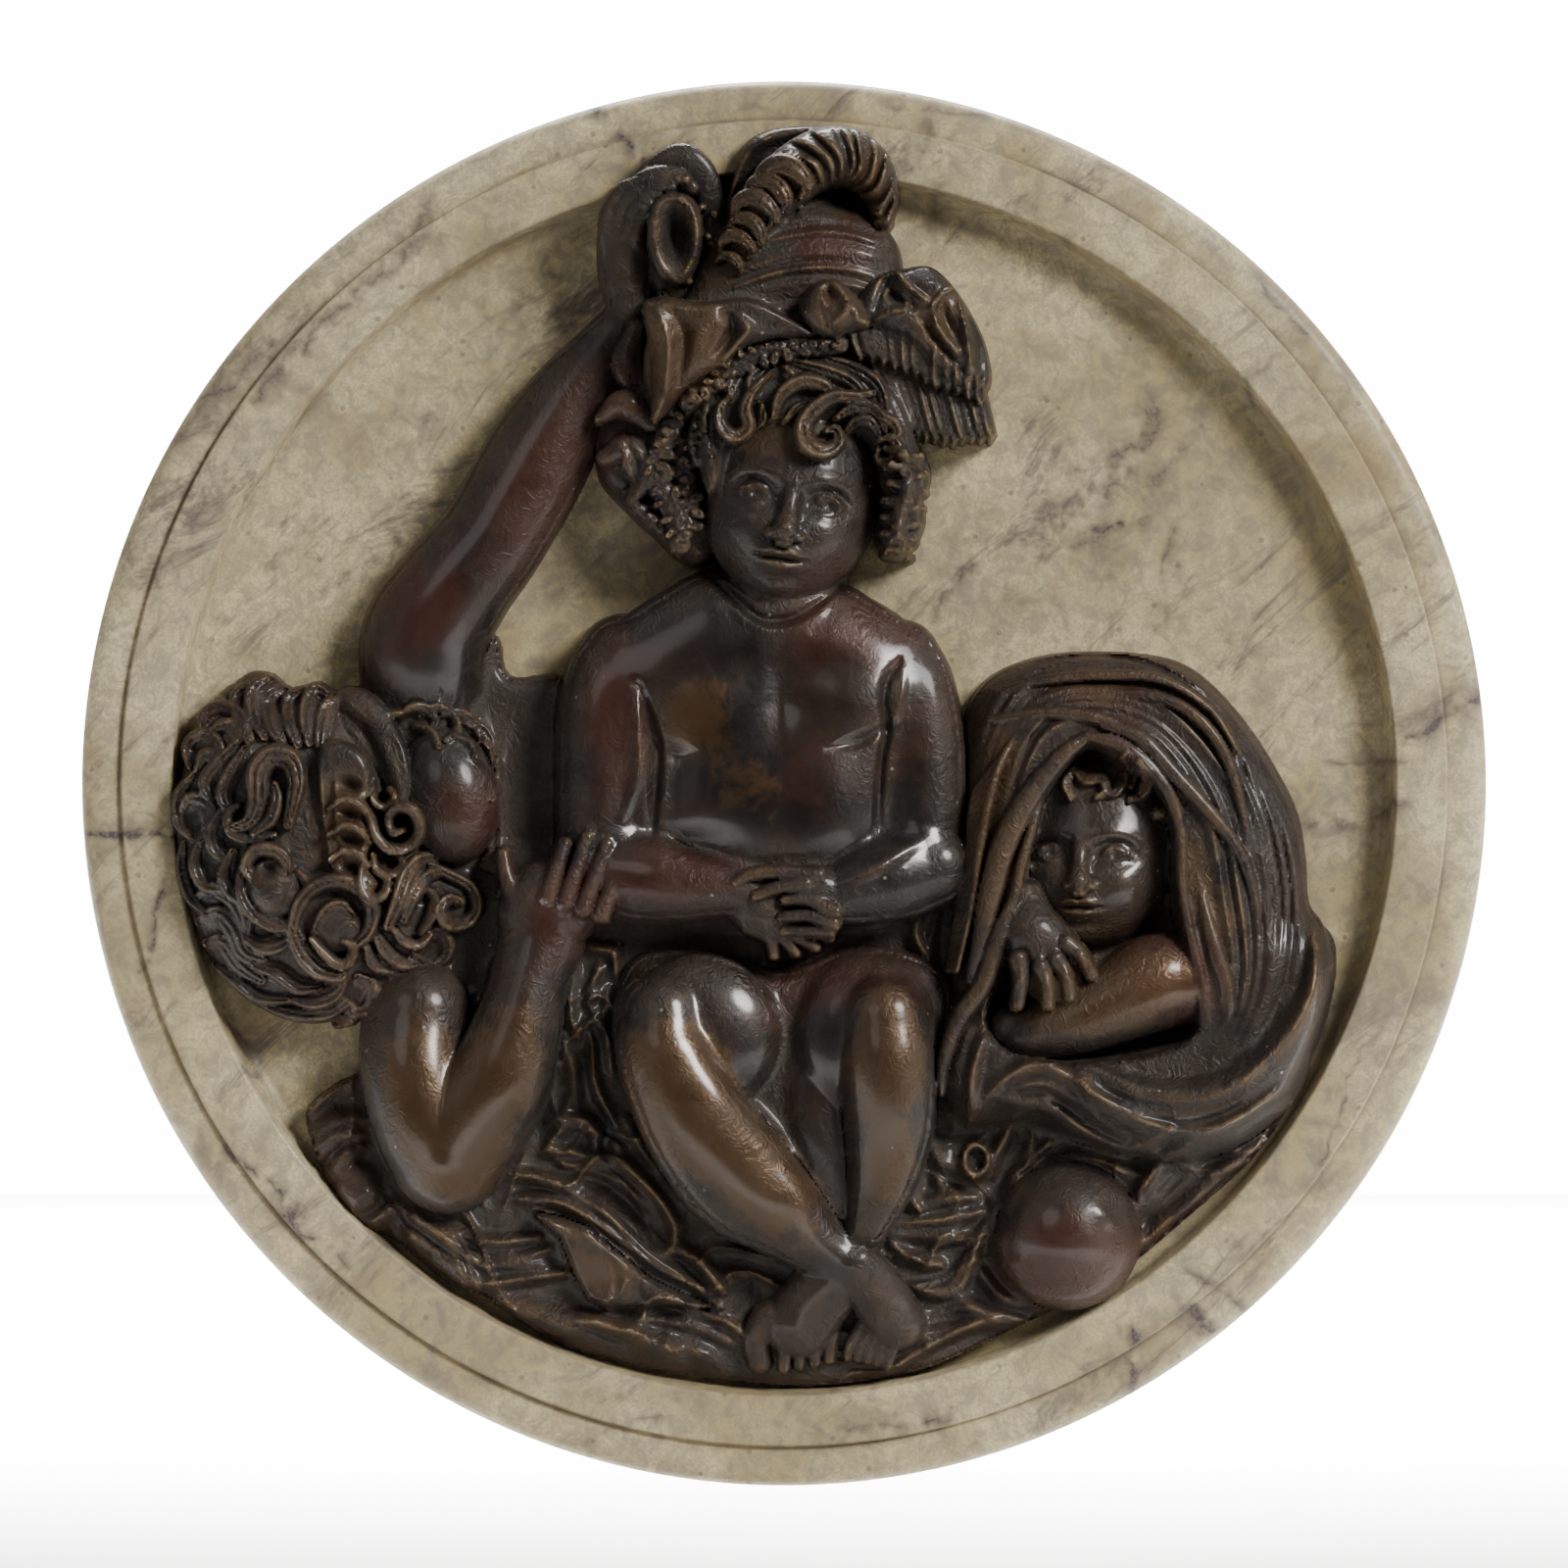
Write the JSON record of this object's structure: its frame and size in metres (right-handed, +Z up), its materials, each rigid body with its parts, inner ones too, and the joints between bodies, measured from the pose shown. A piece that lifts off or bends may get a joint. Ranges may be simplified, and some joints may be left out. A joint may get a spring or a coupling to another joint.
{
  "type": "relief plaque",
  "caption": "Round wall plaque: a cast bronze high relief of three children set in the sunk field of a turned marble roundel.",
  "frame": {"origin": "the middle of the flat back, which lies against the wall", "axes": "+Y is the back's outward normal, into the wall, so the carved front faces -Y; +Z is up as the plaque hangs; +X is to the viewer's right"},
  "size_m": [0.28, 0.0458, 0.28],
  "materials": {
    "cream_marble": null,
    "brown_bronze": "cast bronze, dark chocolate-brown patina rubbed golden brown on its high points; brass stands in for bronze"
  },
  "bodies": {
    "root": {"marble_roundel": "cream_marble", "bronze_relief": "brown_bronze"}
  },
  "joints": []
}
